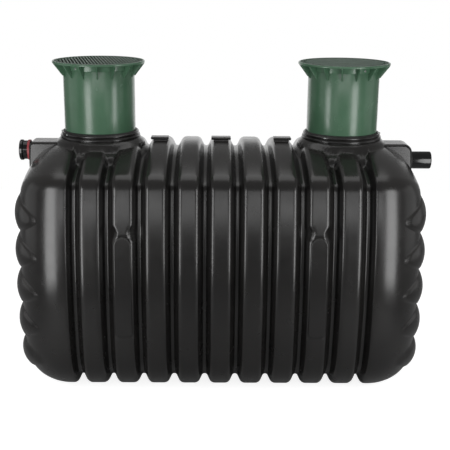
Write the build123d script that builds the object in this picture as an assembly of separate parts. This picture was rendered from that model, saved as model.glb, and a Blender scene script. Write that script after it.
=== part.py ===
from build123d import *
from math import acos, asin, atan2, cos, degrees, hypot, radians, sin, sqrt, tan
import os

# Underground septic tank lying on its side, moulded in black polyethylene.
# Millimetres. X runs along the tank, -Y is the front, Z = 0 is the ground under its flat bottom.

# Moulded body
BODY_HEIGHT = 1358.0
BODY_HALF_WIDTH = 642.0
WIDEST_Z = 650.0
CROWN_RADIUS = 1380.0
SIDE_RADIUS = 1900.0
UPPER_ROUND = 110.0
LOWER_ROUND = 340.0
WALL = 8.0

# Ribs round the body
RIB_PITCH = 172.6
RIB_COUNT = 9
RIB_DEPTH = 53.0
RIB_CREST = 99.0
RIB_FLANK_ANGLE = 64.0
RIB_BEVEL = 14.0
SHOULDER = 62.0

# Domed ends with level lobes
END_CORNER = 256.0
END_TOP_ROUND = 205.0
END_BOTTOM_ROUND = 169.0
LOBE_COUNT = 5
LOBE_PITCH = 202.6
LOBE_TOP_Z = 1027.0
LOBE_PROUD = 31.0
LOBE_ROUND = 184.0
LOBE_SINK = 36.0
LOBE_ROOT = 12.0
LOBE_TURN = 72.0
DOME_STATIONS = (0, 28, 52, 74, 90)
INNER_DOME_STATIONS = (0, 45, 90)

# Access shafts, which stand over the first and the last rib
SHAFT_RADIUS = 200.0
SHAFT_WALL = 7.0
SHAFT_CLEARANCE = 4.0
SHAFT_HEIGHT = 426.0
SHAFT_DEPTH = 30.0

# Necks that carry the shafts, with heights from the level of their collars
NECK_RISE = 25.0
COLLAR_RADIUS = 226.0
COLLAR_TOP = 31.0
COLLAR_FOOT = -3.0
FLARE_RADIUS = 248.0
FLARE_FOOT = -24.0
BOSS_RADIUS = 300.0
BOSS_EDGE = -56.0
BOSS_FOOT_RADIUS = 325.0
BOSS_FOOT = -125.0
SEAL_HEIGHT = 7.0
SEAL_WIDTH = 10.0

# Lid rings with gussets, and lids
LID_RING_RADIUS = 258.5
LID_RING_HEIGHT = 14.0
LID_RADIUS = 246.0
LID_CLEARANCE = 1.5
LID_THICKNESS = 9.0
SKIRT_DEPTH = 31.0
SKIRT_WALL = 6.0
GUSSET_COUNT = 16
GUSSET_DEPTH = 86.0
GUSSET_THICKNESS = 6.0
GUSSET_TIP = 6.0
GUSSET_INSET = 2.0
LEFT_GUSSET_TURN = 4.6
RIGHT_GUSSET_TURN = 12.3

# Pipe housings and pipes
HOUSING_WIDTH = 146.0
HOUSING_CHAMFER = 13.0
HOUSING_TOP = -30.0
HOUSING_FOOT = -250.0
HOUSING_END = 1092.0
HOUSING_START = 860.0
INLET_HOUSING_ROUND = 28.0
OUTLET_HOUSING_ROUND = 50.0
SOCKET_RADIUS = 53.5
SOCKET_BORE = 50.3
SOCKET_STOP = 3.5
SOCKET_LENGTH = 60.0
SOCKET_BEAD = 5.5
SOCKET_BEAD_WIDTH = 16.0
INLET_DROP = 88.0
OUTLET_RADIUS = 50.0
OUTLET_WALL = 3.2
OUTLET_LENGTH = 119.0
OUTLET_DROP = 133.0
OUTLET_HUB = 2.5
OUTLET_HUB_LENGTH = 8.0
HUB_CLEARANCE = 1.0
PIPE_SEAL_DEPTH = 5.0
INLET_SEAL_WIDTH = 14.0

# Small moulded details
PAD_PROUD = 4.0
PAD_LOW_Z = 399.0
PAD_HIGH_Z = 957.0
PAD_RIBS = (-3, 3)
LUG_RIBS = (-2, 0, 2)
LUG_LENGTH = 60.0
LUG_HEIGHT = 22.0
LUG_EAR_REACH = 22.0
LUG_EAR_LENGTH = 34.0
LUG_EAR_THICKNESS = 9.0

NECK_LEVEL = BODY_HEIGHT + NECK_RISE
FLANK_RUN = RIB_DEPTH / tan(radians(RIB_FLANK_ANGLE))
FIRST_RIB_X = -RIB_PITCH * (RIB_COUNT - 1) / 2
BARREL_HALF = RIB_PITCH * RIB_COUNT / 2 + SHOULDER
SHAFT_X = -FIRST_RIB_X


def polar(centre, radius, angle):
    """Point of the Y-Z section at an angle from +Y towards +Z."""
    y, z = centre
    return y + radius * cos(radians(angle)), z + radius * sin(radians(angle))


def heading(start, end):
    return degrees(atan2(end[1] - start[1], end[0] - start[0]))


def meeting_point(first, first_radius, second, second_radius):
    """The upper point where two circles of the section cross."""
    gap = hypot(second[0] - first[0], second[1] - first[1])
    along = (gap**2 + first_radius**2 - second_radius**2) / (2 * gap)
    turn = degrees(acos(along / first_radius))
    return polar(first, first_radius, heading(first, second) - turn)


def section_arcs(half_width, bottom, top, upper_round, lower_round, inset=0.0):
    """Rear half of the tank's section: (centre, radius, from angle, to angle), crown first."""
    crown_radius, side_radius = CROWN_RADIUS - inset, SIDE_RADIUS - inset
    crown = (0.0, top - crown_radius)
    side = (half_width - side_radius, WIDEST_Z)
    upper = meeting_point(crown, crown_radius - upper_round, side, side_radius - upper_round)
    lower_z = bottom + lower_round
    reach = sqrt((side_radius - lower_round) ** 2 - (lower_z - side[1]) ** 2)
    lower = (side[0] + reach, lower_z)
    shoulder, waist, haunch = heading(crown, upper), heading(side, upper), heading(side, lower)
    return [
        (crown, crown_radius, 90.0, shoulder),
        (upper, upper_round, shoulder, waist),
        (side, side_radius, waist, haunch),
        (lower, lower_round, haunch, -90.0),
    ]


def arc_edge(x, arc, side):
    """One arc of the section at X, on the rear (1) or front (-1) side."""
    centre, radius, start, end = arc
    points = [polar(centre, radius, angle) for angle in (start, (start + end) / 2, end)]
    return ThreePointArc(*[(x, side * y, z) for y, z in points])


def section_face(x, half_width, bottom, top, upper_round, lower_round, inset=0.0):
    """The tank's whole section as a face across X."""
    arcs = section_arcs(half_width, bottom, top, upper_round, lower_round, inset)
    crown, radius, _, shoulder = arcs[0]
    rear_y, shoulder_z = polar(crown, radius, shoulder)
    foot = arcs[3][0][0]
    edges = [
        ThreePointArc((x, -rear_y, shoulder_z), (x, 0, top), (x, rear_y, shoulder_z)),
        Line((x, -foot, bottom), (x, foot, bottom)),
    ]
    for side in (1, -1):
        edges += [arc_edge(x, arc, side) for arc in arcs[1:]]
    return Face(Wire(edges))


def rib_line():
    """Outer line of the wall along the body: (x, depth below the rib crests)."""
    half_floor = (RIB_PITCH - RIB_CREST) / 2 - FLANK_RUN
    bevel_run = RIB_BEVEL * FLANK_RUN / RIB_DEPTH
    rise = [
        (half_floor, RIB_DEPTH),
        (half_floor + FLANK_RUN - bevel_run, RIB_BEVEL),
        (half_floor + FLANK_RUN + RIB_BEVEL, 0),
    ]
    line = [(-BARREL_HALF, 0)]
    for gap in range(RIB_COUNT + 1):
        valley = FIRST_RIB_X + (gap - 0.5) * RIB_PITCH
        line += [(valley - x, depth) for x, depth in reversed(rise)]
        line += [(valley + x, depth) for x, depth in rise]
    return line + [(BARREL_HALF, 0)]


def wall_line():
    """Closed outline of the ribbed wall: (x, depth)."""
    inner = RIB_DEPTH + WALL
    return rib_line() + [(BARREL_HALF, inner), (-BARREL_HALF, inner)]


def turned_wall(arc):
    """The ribbed wall bent round one arc of the section."""
    (y, z), radius, start, end = arc
    low = min(start, end)
    plane = Plane(
        origin=(0, y, z),
        x_dir=(1, 0, 0),
        z_dir=(0, -sin(radians(low)), cos(radians(low))),
    )
    face = plane * make_face(Polyline(*[(x, radius - depth) for x, depth in wall_line()], close=True))
    return revolve(face, Axis((0, y, z), (1, 0, 0)), abs(end - start))


BODY_ARCS = section_arcs(BODY_HALF_WIDTH, 0.0, BODY_HEIGHT, UPPER_ROUND, LOWER_ROUND)


def front_and_rear_walls():
    rear = turned_wall(BODY_ARCS[1]) + turned_wall(BODY_ARCS[2]) + turned_wall(BODY_ARCS[3])
    return mirror(rear, Plane.XZ), rear


def roof_panel():
    centre, radius, _, shoulder = BODY_ARCS[0]
    return turned_wall((centre, radius, shoulder, 180 - shoulder))


def floor_panel():
    foot = BODY_ARCS[3][0][0]
    face = Plane.XZ * make_face(Polyline(*wall_line(), close=True))
    return extrude(face, foot, both=True)


def body_inside():
    """The space inside the ribbed wall."""
    inset = RIB_DEPTH + WALL
    section = section_face(
        x=-BARREL_HALF,
        half_width=BODY_HALF_WIDTH - inset,
        bottom=inset,
        top=BODY_HEIGHT - inset,
        upper_round=UPPER_ROUND - inset,
        lower_round=LOWER_ROUND - inset,
        inset=inset,
    )
    return extrude(section, 2 * BARREL_HALF, dir=(1, 0, 0))


def end_dome(outwards, stations=DOME_STATIONS):
    """Solid dome of the right end, grown or shrunk by a distance from its outer face."""
    corner, top_round = END_CORNER + outwards, END_TOP_ROUND + outwards
    bottom_round = END_BOTTOM_ROUND + outwards
    sections = []
    for angle in stations:
        shrink = 1 - cos(radians(angle))
        sections.append(
            section_face(
                x=BARREL_HALF + corner * sin(radians(angle)),
                half_width=BODY_HALF_WIDTH + outwards - corner * shrink,
                bottom=bottom_round * shrink - outwards,
                top=BODY_HEIGHT + outwards - top_round * shrink,
                upper_round=UPPER_ROUND + outwards,
                lower_round=LOWER_ROUND + outwards - (LOWER_ROUND - END_BOTTOM_ROUND) * shrink,
            )
        )
    return loft(sections)


def half_width_at(z):
    """Half width of the ribs' crest line at a height, on the side arc or the haunch below it."""
    side, haunch = BODY_ARCS[2], BODY_ARCS[3]
    arc = haunch if z < polar(haunch[0], haunch[1], haunch[2])[1] else side
    return arc[0][0] + sqrt(arc[1] ** 2 - (z - arc[0][1]) ** 2)


def lobe(z):
    """One level bulge that runs across the end and sinks into both corners."""
    reach = END_CORNER + LOBE_PROUD
    chord = END_CORNER - LOBE_ROOT
    half_chord = sqrt(LOBE_ROUND**2 - (LOBE_ROUND - LOBE_PROUD - LOBE_ROOT) ** 2)
    outline = [
        ThreePointArc((chord, z - half_chord), (reach, z), (chord, z + half_chord)),
        Line((chord, z + half_chord), (chord, z - half_chord)),
    ]
    corner_y = half_width_at(z) - END_CORNER - LOBE_SINK
    face = Pos(BARREL_HALF, 0, 0) * (Plane.XZ * make_face(outline))
    middle = extrude(face, corner_y, both=True)
    turned_face = Pos(0, corner_y, 0) * face
    corner = revolve(turned_face, Axis((BARREL_HALF, corner_y, 0), (0, 0, 1)), LOBE_TURN)
    return middle + corner + mirror(corner, Plane.XZ)


def end_outside():
    lobes = Part() + [lobe(LOBE_TOP_Z - k * LOBE_PITCH) for k in range(LOBE_COUNT)]
    return end_dome(0) + (lobes & end_dome(LOBE_PROUD))


def disc(radius):
    """Round face in the X-Y plane."""
    return Face(Wire(Edge.make_circle(radius)))


def ring(outer, inner, low, high):
    """Plain ring about the Z axis."""
    return Pos(0, 0, low) * extrude(disc(outer) - disc(inner), high - low)


def turned(points):
    """Solid turned about the Z axis from (radius, height) points."""
    return revolve(make_face(Plane.XZ * Polyline(*points, close=True)), Axis.Z)


def boss_core(x):
    """Space inside the boss of a neck, used to cut the roof and ends."""
    points = [
        (0, BOSS_FOOT - WALL),
        (BOSS_FOOT_RADIUS, BOSS_FOOT - WALL),
        (BOSS_FOOT_RADIUS, BOSS_FOOT),
        (BOSS_RADIUS, BOSS_EDGE),
        (FLARE_RADIUS, FLARE_FOOT),
        (COLLAR_RADIUS, COLLAR_FOOT),
        (COLLAR_RADIUS, COLLAR_TOP),
        (0, COLLAR_TOP),
    ]
    return Pos(x, 0, NECK_LEVEL) * turned(points)


def neck(x):
    """Collar with a flare and a boss that bridges the ribs."""
    bore = SHAFT_RADIUS + SHAFT_CLEARANCE
    points = [
        (bore, COLLAR_TOP),
        (COLLAR_RADIUS, COLLAR_TOP),
        (COLLAR_RADIUS, COLLAR_FOOT),
        (FLARE_RADIUS, FLARE_FOOT),
        (BOSS_RADIUS, BOSS_EDGE),
        (BOSS_FOOT_RADIUS, BOSS_FOOT),
        (BOSS_FOOT_RADIUS - WALL, BOSS_FOOT),
        (BOSS_RADIUS - WALL, BOSS_EDGE - WALL),
        (bore, FLARE_FOOT - WALL),
    ]
    return Pos(x, 0, NECK_LEVEL) * turned(points)


def neck_seal(x):
    inner = SHAFT_RADIUS
    return Pos(x, 0, NECK_LEVEL) * ring(inner + SEAL_WIDTH, inner, COLLAR_TOP, COLLAR_TOP + SEAL_HEIGHT)


def shaft(x):
    top = SHAFT_HEIGHT - LID_RING_HEIGHT
    return Pos(x, 0, NECK_LEVEL) * ring(SHAFT_RADIUS, SHAFT_RADIUS - SHAFT_WALL, -SHAFT_DEPTH, top)


def gusset(angle):
    inner, top = SHAFT_RADIUS + SHAFT_CLEARANCE, SHAFT_HEIGHT - LID_RING_HEIGHT
    outer = LID_RING_RADIUS - GUSSET_INSET
    low = SHAFT_HEIGHT - GUSSET_DEPTH
    points = [(inner, top), (outer, top), (outer, top - GUSSET_TIP), (inner + SKIRT_WALL, low), (inner, low)]
    plate = extrude(Plane.XZ * make_face(Polyline(*points, close=True)), GUSSET_THICKNESS / 2, both=True)
    return Rot(0, 0, angle - 90) * plate


def lid_ring(x, turn):
    """Ring that takes the lid, with a skirt round the shaft and gussets below its rim."""
    bore = SHAFT_RADIUS + SHAFT_CLEARANCE
    top, rim_foot = SHAFT_HEIGHT, SHAFT_HEIGHT - LID_RING_HEIGHT
    seat = top - LID_THICKNESS
    points = [
        (LID_RADIUS + LID_CLEARANCE, top),
        (LID_RING_RADIUS, top),
        (LID_RING_RADIUS, rim_foot),
        (bore + SKIRT_WALL, rim_foot),
        (bore + SKIRT_WALL, rim_foot - SKIRT_DEPTH),
        (bore, rim_foot - SKIRT_DEPTH),
        (bore, rim_foot),
        (SHAFT_RADIUS - SHAFT_WALL, rim_foot),
        (SHAFT_RADIUS - SHAFT_WALL, seat),
        (LID_RADIUS + LID_CLEARANCE, seat),
    ]
    step = 360 / GUSSET_COUNT
    gussets = [gusset(turn + k * step) for k in range(GUSSET_COUNT)]
    return Pos(x, 0, NECK_LEVEL) * (turned(points) + gussets)


def lid(x):
    low = SHAFT_HEIGHT - LID_THICKNESS
    return Pos(x, 0, NECK_LEVEL + low) * extrude(disc(LID_RADIUS), LID_THICKNESS)


def housing_block(end_round):
    """Flat-topped block at the right end before the dome and neck are cut from it."""
    length, height = HOUSING_END - HOUSING_START, HOUSING_TOP - HOUSING_FOOT
    middle = Vector(HOUSING_START + length / 2, 0, NECK_LEVEL + HOUSING_FOOT + height / 2)
    block = Pos(middle) * Box(length, HOUSING_WIDTH, height)
    end_edge = block.edges().filter_by(Axis.Y).sort_by(Axis.X)[-2:].sort_by(Axis.Z)[-1]
    block = fillet(end_edge, end_round)
    rims = block.faces().sort_by(Axis.Z)[-1].edges().filter_by(Axis.X)
    return chamfer(rims, HOUSING_CHAMFER)


def bore_along_x(radius, z, start, end):
    return Plane.YZ * Pos(0, z, start) * extrude(disc(radius), end - start)


def inlet_socket():
    z = NECK_LEVEL - INLET_DROP
    mouth = HOUSING_END + SOCKET_LENGTH
    tube = bore_along_x(SOCKET_RADIUS, z, HOUSING_END, mouth)
    bead = bore_along_x(SOCKET_RADIUS + SOCKET_BEAD, z, mouth - SOCKET_BEAD_WIDTH, mouth)
    return tube + bead - bore_along_x(SOCKET_BORE, z, HOUSING_END, mouth)


def outlet_pipe():
    """Plain pipe end with a short hub against the housing."""
    z = NECK_LEVEL - OUTLET_DROP
    end = HOUSING_END + OUTLET_LENGTH
    tube = bore_along_x(OUTLET_RADIUS, z, HOUSING_END, end)
    hub = bore_along_x(OUTLET_RADIUS + OUTLET_HUB, z, HOUSING_END, HOUSING_END + OUTLET_HUB_LENGTH)
    return tube + hub - bore_along_x(OUTLET_RADIUS - OUTLET_WALL, z, HOUSING_END, end)


def pipe_seal(radius, drop, width):
    z = NECK_LEVEL - drop
    outer = bore_along_x(radius + PIPE_SEAL_DEPTH, z, HOUSING_END, HOUSING_END + width)
    return outer - bore_along_x(radius, z, HOUSING_END, HOUSING_END + width)


def side_pad(rib):
    """Flat pad on the crest of one rib of the rear wall."""
    centre, radius, _, _ = BODY_ARCS[2]
    low = degrees(asin((PAD_LOW_Z - centre[1]) / radius))
    high = degrees(asin((PAD_HIGH_Z - centre[1]) / radius))
    plane = Plane(
        origin=(rib * RIB_PITCH, *centre),
        x_dir=(1, 0, 0),
        z_dir=(0, -sin(radians(low)), cos(radians(low))),
    )
    width = RIB_CREST - 2 * RIB_BEVEL
    strip = plane * Pos(0, radius + PAD_PROUD / 2) * Rectangle(width, PAD_PROUD)
    return revolve(strip, Axis((0, *centre), (1, 0, 0)), high - low)


def lifting_lug(rib, ears):
    """Low lug moulded on the crown of one rib, with flat ears to the left (-1) or right (1)."""
    half = RIB_CREST / 2 - RIB_BEVEL
    top = BODY_HEIGHT + LUG_HEIGHT
    lug = Pos(rib * RIB_PITCH, 0, top - LUG_HEIGHT) * Box(2 * half, LUG_LENGTH, 2 * LUG_HEIGHT)
    for side in ears:
        reach = half + LUG_EAR_REACH
        place = Pos(rib * RIB_PITCH + side * reach / 2, 0, top - LUG_EAR_THICKNESS / 2)
        lug += place * Box(reach, LUG_EAR_LENGTH, LUG_EAR_THICKNESS)
    crown = Plane.YZ * Pos(0, BODY_HEIGHT - CROWN_RADIUS, -BARREL_HALF) * extrude(
        disc(CROWN_RADIUS), 2 * BARREL_HALF
    )
    return lug - crown


def export_all(parts):
    os.makedirs("parts", exist_ok=True)
    for name, part in parts.items():
        part.label = name
        export_step(part, f"parts/{name}.step")


def build():
    front_wall, rear_wall = front_and_rear_walls()
    cores = [boss_core(-SHAFT_X), boss_core(SHAFT_X)]
    outlet_bore = bore_along_x(OUTLET_RADIUS, NECK_LEVEL - OUTLET_DROP, SHAFT_X, HOUSING_END)
    inlet_way = SOCKET_BORE - SOCKET_STOP
    inlet_bore = bore_along_x(inlet_way, NECK_LEVEL - INLET_DROP, SHAFT_X, HOUSING_END)
    outside, inside = end_outside(), body_inside()
    dome_inside = end_dome(-WALL, INNER_DOME_STATIONS)
    shell = outside - dome_inside - cores[1]
    around = outside + cores[1]
    right_neck = neck(SHAFT_X) - inside - dome_inside
    parts = {
        "roof": roof_panel() - cores[0] - cores[1],
        "front_wall": front_wall,
        "rear_wall": rear_wall,
        "floor": floor_panel(),
        "left_end": mirror(shell - inlet_bore, Plane.YZ),
        "right_end": shell - outlet_bore,
        "inlet_housing": mirror(housing_block(INLET_HOUSING_ROUND) - around - inlet_bore, Plane.YZ),
        "outlet_housing": housing_block(OUTLET_HOUSING_ROUND) - around - outlet_bore,
        "inlet_socket": mirror(inlet_socket(), Plane.YZ),
        "inlet_seal": mirror(pipe_seal(SOCKET_RADIUS, INLET_DROP, INLET_SEAL_WIDTH), Plane.YZ),
        "outlet_pipe": outlet_pipe(),
        "outlet_seal": pipe_seal(
            OUTLET_RADIUS + OUTLET_HUB, OUTLET_DROP, OUTLET_HUB_LENGTH - HUB_CLEARANCE
        ),
        "left_neck": mirror(right_neck - inlet_bore, Plane.YZ),
        "right_neck": right_neck - outlet_bore,
    }
    for side, x, turn in (("left", -SHAFT_X, LEFT_GUSSET_TURN), ("right", SHAFT_X, RIGHT_GUSSET_TURN)):
        parts[f"{side}_neck_seal"] = neck_seal(x)
        parts[f"{side}_shaft"] = shaft(x)
        parts[f"{side}_lid_ring"] = lid_ring(x, turn)
        parts[f"{side}_lid"] = lid(x)
    for side, rib in zip(("left", "right"), PAD_RIBS):
        pad = side_pad(rib)
        parts[f"rear_{side}_pad"] = pad
        parts[f"front_{side}_pad"] = mirror(pad, Plane.XZ)
    for name, rib, ears in zip(("left", "middle", "right"), LUG_RIBS, ((-1,), (-1, 1), (1,))):
        parts[f"{name}_lifting_lug"] = lifting_lug(rib, ears)
    return parts


export_all(build())
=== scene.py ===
# %% [markdown]
# # A septic tank, dressed in cells
# The CAD model gives every size and place. This notebook loads it as a fixed frame and then makes
# the surfaces that the eye meets: satin black moulded polyethylene, glossy green shafts, treaded
# lids, rubber seals and pipes. Each step says what the real piece is and why it is made this way.

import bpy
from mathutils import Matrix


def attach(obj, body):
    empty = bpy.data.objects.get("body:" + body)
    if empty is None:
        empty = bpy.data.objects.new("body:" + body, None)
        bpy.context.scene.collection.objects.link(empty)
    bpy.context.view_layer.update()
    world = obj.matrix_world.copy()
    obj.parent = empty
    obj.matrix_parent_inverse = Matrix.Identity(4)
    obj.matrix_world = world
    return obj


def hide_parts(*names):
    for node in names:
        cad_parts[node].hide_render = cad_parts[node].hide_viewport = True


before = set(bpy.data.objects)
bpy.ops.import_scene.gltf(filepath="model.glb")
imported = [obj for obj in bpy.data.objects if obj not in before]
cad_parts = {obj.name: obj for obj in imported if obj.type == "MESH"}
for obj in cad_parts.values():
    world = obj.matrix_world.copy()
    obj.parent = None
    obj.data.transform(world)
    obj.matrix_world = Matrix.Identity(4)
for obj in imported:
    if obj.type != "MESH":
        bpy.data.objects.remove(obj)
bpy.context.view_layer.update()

# %% [markdown]
# ## Modules
# Arcs and angles come from `math`, and whole grids of points from `numpy`. `bmesh` makes the small
# plates and blocks, and `mathutils` turns and moves what is first made at the origin.

# %% Modules
from math import acos, asin, atan2, cos, hypot, pi, radians, sin, sqrt, tan

import bmesh
import bpy
import numpy as np
from mathutils import Matrix, Vector

print("Blender", bpy.app.version_string)

# %% [markdown]
# ## Sizes
# The tank is described by a handful of sizes in metres. They repeat the driving sizes of the CAD
# model, so every dressed piece stays where its solid is. Levels near the roof are counted from the
# seat of the necks, and the last line prints where the barrel starts and ends.

# %% Sizes of the moulded body
BODY_TOP = 1.358
NECK_RISE = 0.025
NECK_LEVEL = BODY_TOP + NECK_RISE
HALF_WIDTH = 0.642
WIDEST_Z = 0.650
CROWN_RADIUS = 1.380
SIDE_RADIUS = 1.900
UPPER_ROUND = 0.110
LOWER_ROUND = 0.340
RIB_PITCH = 0.1726
RIB_COUNT = 9
RIB_DEPTH = 0.053
SHOULDER = 0.062
BARREL_HALF = RIB_PITCH * RIB_COUNT / 2 + SHOULDER
SHAFT_X = RIB_PITCH * (RIB_COUNT - 1) / 2
SHAFTS = {"left": -SHAFT_X, "right": SHAFT_X}
print("barrel from", round(-BARREL_HALF, 3), "to", round(BARREL_HALF, 3))

# %% [markdown]
# ## The camera
# A camera fit to the rib pitch, collars and lid rings of the picture gave a 73 mm lens on a 36 mm
# sensor, a little over five metres away and looking down by 16 degrees. The tank is turned by less
# than one degree, which is done here by walking the camera round it the other way.

# %% Camera
SENSOR_WIDTH = 36.0
CAMERA_LENS = 73.1
CAMERA_DISTANCE = 5.189
CAMERA_SIDE = 0.0273
CAMERA_ABOVE_NECKS = 0.942
CAMERA_PITCH = 15.86
CAMERA_ROLL = 0.527
TANK_TURN = 0.70

camera_data = bpy.data.cameras.new("camera")
camera_data.sensor_width = SENSOR_WIDTH
camera_data.lens = CAMERA_LENS
camera = bpy.data.objects.new("camera", camera_data)
bpy.context.scene.collection.objects.link(camera)
walk = Matrix.Rotation(radians(-TANK_TURN), 4, "Z")
stand = Matrix.Translation((CAMERA_SIDE, -CAMERA_DISTANCE, NECK_LEVEL + CAMERA_ABOVE_NECKS))
tilt = Matrix.Rotation(radians(90 - CAMERA_PITCH), 4, "X")
roll = Matrix.Rotation(radians(CAMERA_ROLL), 4, "Z")
camera.matrix_world = walk @ stand @ tilt @ roll
bpy.context.scene.camera = camera
print("camera at", [round(v, 3) for v in camera.matrix_world.translation])

# %% [markdown]
# ## Helpers for meshes
# Most pieces here are either a grid of points bent into shape, or a profile turned round an axis.
# Both come from a formula for each point, which is easier to read than a stack of modifiers and
# gives clean quads that shade smoothly.

# %% From points to a mesh object
def new_piece(name, vertices, faces, material, smooth=True):
    """Makes a mesh object from points and faces."""
    mesh = bpy.data.meshes.new(name)
    mesh.from_pydata([tuple(v) for v in vertices], [], faces)
    mesh.validate()
    if smooth:
        mesh.polygons.foreach_set("use_smooth", [True] * len(mesh.polygons))
    piece = bpy.data.objects.new(name, mesh)
    bpy.context.scene.collection.objects.link(piece)
    mesh.materials.append(material)
    return piece


def grid_faces(rows, columns, close_rows=False, close_columns=False):
    """Quads of a grid whose points are numbered row by row."""
    last_row = rows if close_rows else rows - 1
    last_column = columns if close_columns else columns - 1
    faces = []
    for r in range(last_row):
        for c in range(last_column):
            r2, c2 = (r + 1) % rows, (c + 1) % columns
            faces.append((r * columns + c, r * columns + c2, r2 * columns + c2, r2 * columns + c))
    return faces


print("a grid of 3 by 4 points has", len(grid_faces(3, 4)), "faces")

# %% [markdown]
# ## Rounded corners
# A moulding has small rounds at its corners, because hot plastic doesn't fill a sharp one. So an
# outline is written as its corner points with a radius for each, and this helper puts the arcs in.
# An arc never takes more than half of the straight beside it.

# %% Rounded lines
def rounded_line(points, rounds, steps=5, closed=False):
    """A 2D line whose corners are replaced by arcs of the given radii."""
    line = []
    count = len(points)
    for i, (x, y) in enumerate(points):
        round_here = rounds[i] if isinstance(rounds, (list, tuple)) else rounds
        if not closed and i in (0, count - 1) or round_here <= 0:
            line.append((x, y))
            continue
        before, after = np.array(points[i - 1], float), np.array(points[(i + 1) % count], float)
        here = np.array((x, y), float)
        a, b = before - here, after - here
        la, lb = np.linalg.norm(a), np.linalg.norm(b)
        a, b = a / la, b / lb
        half = acos(max(-1, min(1, float(a @ b)))) / 2
        cut = min(round_here / tan(half), 0.49 * la, 0.49 * lb)
        radius = cut * tan(half)
        middle = here + (a + b) / np.linalg.norm(a + b) * (radius / sin(half))
        start = here + a * cut - middle
        end = here + b * cut - middle
        turn = acos(max(-1, min(1, float(start @ end) / radius**2)))
        side = np.sign(start[0] * end[1] - start[1] * end[0])
        for k in range(steps + 1):
            angle = side * turn * k / steps
            c, s = cos(angle), sin(angle)
            turned = np.array((c * start[0] - s * start[1], s * start[0] + c * start[1]))
            line.append(tuple(middle + turned))
    return line


print("a corner rounded in five steps:", len(rounded_line([(0, 0), (1, 0), (1, 1)], 0.2)), "points")

# %% [markdown]
# ## Turned pieces, plates and blocks
# Shafts, rings, seals and pipes are round, so a profile of radius and height turned about an axis
# gives them, as on a lathe. Gussets, bars and housings are prisms between two equal outlines. All
# of them are closed skins, whose faces have to point outwards for the light to fall right.

# %% Turned pieces and prisms
AXES = {
    "z": lambda r, h, c, s: (r * c, r * s, h),
    "x": lambda r, h, c, s: (h, r * c, r * s),
}


def turned_piece(name, profile, centre, material, axis="z", segments=128, closed=True):
    """Turns a (radius, height) profile round an axis through centre."""
    cx, cy, cz = centre
    vertices = []
    for k in range(segments):
        c, s = cos(2 * pi * k / segments), sin(2 * pi * k / segments)
        for r, h in profile:
            x, y, z = AXES[axis](r, h, c, s)
            vertices.append((cx + x, cy + y, cz + z))
    faces = grid_faces(segments, len(profile), close_rows=True, close_columns=closed)
    piece = new_piece(name, vertices, faces, material)
    face_outwards(piece)
    return piece


def face_outwards(piece, merge=1e-6):
    """Joins points that meet and turns all faces of a closed mesh outwards."""
    mesh = bmesh.new()
    mesh.from_mesh(piece.data)
    bmesh.ops.remove_doubles(mesh, verts=mesh.verts, dist=merge)
    bmesh.ops.recalc_face_normals(mesh, faces=mesh.faces)
    mesh.to_mesh(piece.data)
    mesh.free()


def add_prism(mesh, first, second):
    """Adds a solid between two outlines of as many points: two end faces and the sides."""
    rings = [[mesh.verts.new(point) for point in outline] for outline in (first, second)]
    mesh.faces.new(rings[0])
    mesh.faces.new(list(reversed(rings[1])))
    count = len(first)
    for k in range(count):
        after = (k + 1) % count
        mesh.faces.new((rings[0][k], rings[0][after], rings[1][after], rings[1][k]))


def piece_from_bmesh(name, mesh, material, place=None, soften=None):
    """Makes a piece of a bmesh, moved to its place and bevelled by a width in so many segments."""
    data = bpy.data.meshes.new(name)
    mesh.to_mesh(data)
    mesh.free()
    if place is not None:
        data.transform(place)
    data.materials.append(material)
    piece = bpy.data.objects.new(name, data)
    bpy.context.scene.collection.objects.link(piece)
    if soften:
        bevel = piece.modifiers.new("soften", "BEVEL")
        bevel.width, bevel.segments = soften
    return piece


def finish_piece(piece, slot, *replaced):
    """Attaches a piece to the root body and hides the CAD nodes that it replaces; the slot is not used."""
    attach(piece, "root")
    if replaced:
        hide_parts(*replaced)
    print(piece.name, len(piece.data.polygons), "faces")
    return piece


# %% [markdown]
# ## Helpers for materials
# Colours are written as the hex values that a picture editor shows, and one function turns them
# to the linear light that Blender mixes in. One more function adds a node with its settings.

# %% Colour and node helpers
def linear(hex_colour):
    """sRGB hex to linear RGBA."""
    values = [int(hex_colour[i : i + 2], 16) / 255 for i in (1, 3, 5)]
    return (*[v / 12.92 if v <= 0.04045 else ((v + 0.055) / 1.055) ** 2.4 for v in values], 1.0)


print("mid grey in linear light:", round(linear("#808080")[0], 3))


def add(tree, kind, links=None, inputs=None, **settings):
    """Adds a node: settings are its properties, inputs its values, links its incoming sockets."""
    node = tree.nodes.new(kind)
    for key, value in settings.items():
        setattr(node, key, value)
    for key, value in (inputs or {}).items():
        node.inputs[key].default_value = value
    for key, socket in (links or {}).items():
        tree.links.new(socket, node.inputs[key])
    return node


def new_material(name):
    """An empty node material with its Principled shader and output."""
    material = bpy.data.materials.new(name)
    material.use_nodes = True
    tree = material.node_tree
    tree.nodes.clear()
    shader = add(tree, "ShaderNodeBsdfPrincipled")
    add(tree, "ShaderNodeOutputMaterial", links={"Surface": shader.outputs["BSDF"]})
    return material, tree, shader


def colour_ramp(tree, factor, stops):
    """A ramp from a list of (position, hex colour)."""
    ramp = add(tree, "ShaderNodeValToRGB", links={"Fac": factor})
    elements = ramp.color_ramp.elements
    while len(elements) < len(stops):
        elements.new(0.5)
    for element, (position, colour) in zip(elements, stops):
        element.position = position
        element.color = linear(colour)
    return ramp.outputs["Color"]


def noise(tree, vector, size_mm, detail=3.0, roughness=0.5):
    """Noise whose lumps are about size_mm across, in object space where one unit is a metre."""
    node = add(
        tree,
        "ShaderNodeTexNoise",
        links={"Vector": vector},
        inputs={"Scale": 1000.0 / size_mm, "Detail": detail, "Roughness": roughness},
    )
    return node.outputs["Fac"]


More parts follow.
